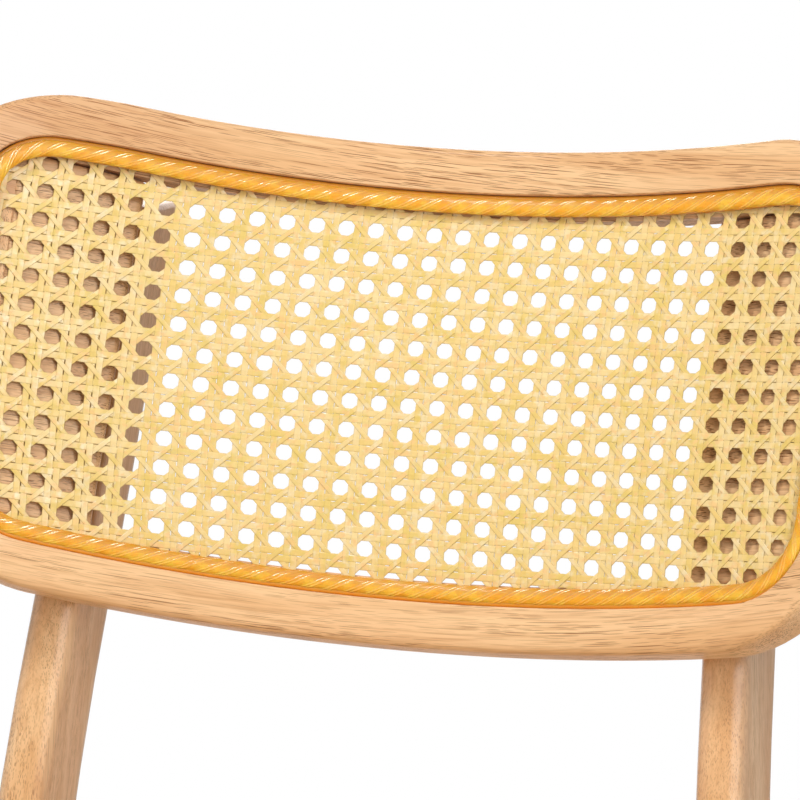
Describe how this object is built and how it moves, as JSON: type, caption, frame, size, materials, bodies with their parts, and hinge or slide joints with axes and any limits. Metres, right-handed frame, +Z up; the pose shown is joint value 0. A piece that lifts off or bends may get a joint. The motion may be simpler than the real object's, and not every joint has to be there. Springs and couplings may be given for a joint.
{
  "type": "rattan dining chair",
  "caption": "Armless wooden dining chair with a curved backrest and a seat of woven cane, both edged with twisted cord, on slim splayed legs.",
  "frame": {"origin": "on the floor, under the middle of the chair's overall box", "axes": "+Z up, the sitter faces -Y, +X to the right of a viewer who stands in front of the chair"},
  "size_m": [0.4624, 0.5551, 0.8113],
  "materials": {
    "frame_wood": "satin clear lacquer on pale rubberwood",
    "dowel_wood": "plain turned beech",
    "cane": "natural glossy rattan peel",
    "cord": "glossy amber two-strand twist",
    "screw_steel": "zinc plated",
    "glide_plastic": "matt moulded"
  },
  "bodies": {
    "root": {"back_top_rail": "frame_wood", "back_bottom_rail": "frame_wood", "back_side_member_left": "frame_wood", "back_side_member_right": "frame_wood", "back_mounting_board_left": "frame_wood", "back_mounting_board_right": "frame_wood", "back_cane": "cane", "back_cord": "cord", "back_dowel_upper_left": "dowel_wood", "back_dowel_upper_right": "dowel_wood", "back_dowel_lower_left": "dowel_wood", "back_dowel_lower_right": "dowel_wood", "back_screw_upper_left": "screw_steel", "back_screw_upper_right": "screw_steel", "back_screw_lower_left": "screw_steel", "back_screw_lower_right": "screw_steel", "back_plug_upper_left": "dowel_wood", "back_plug_upper_right": "dowel_wood", "back_plug_lower_left": "dowel_wood", "back_plug_lower_right": "dowel_wood", "rear_leg_left": "frame_wood", "rear_leg_right": "frame_wood", "front_leg_left": "frame_wood", "front_leg_right": "frame_wood", "apron_front": "frame_wood", "apron_rear": "frame_wood", "apron_left": "frame_wood", "apron_right": "frame_wood", "corner_block_front_left": "frame_wood", "corner_block_front_right": "frame_wood", "corner_block_rear_left": "frame_wood", "corner_block_rear_right": "frame_wood", "block_screw_front_left": "screw_steel", "block_screw_front_right": "screw_steel", "block_screw_rear_left": "screw_steel", "block_screw_rear_right": "screw_steel", "seat_screw_front_left": "screw_steel", "seat_screw_front_right": "screw_steel", "seat_screw_rear_left": "screw_steel", "seat_screw_rear_right": "screw_steel", "seat_frame_front": "frame_wood", "seat_frame_rear": "frame_wood", "seat_frame_left": "frame_wood", "seat_frame_right": "frame_wood", "seat_dowel_front_left": "dowel_wood", "seat_dowel_front_right": "dowel_wood", "seat_dowel_rear_left": "dowel_wood", "seat_dowel_rear_right": "dowel_wood", "seat_cane": "cane", "seat_cord": "cord", "glide_front_left": "glide_plastic", "glide_front_right": "glide_plastic", "glide_rear_left": "glide_plastic", "glide_rear_right": "glide_plastic"}
  },
  "joints": []
}
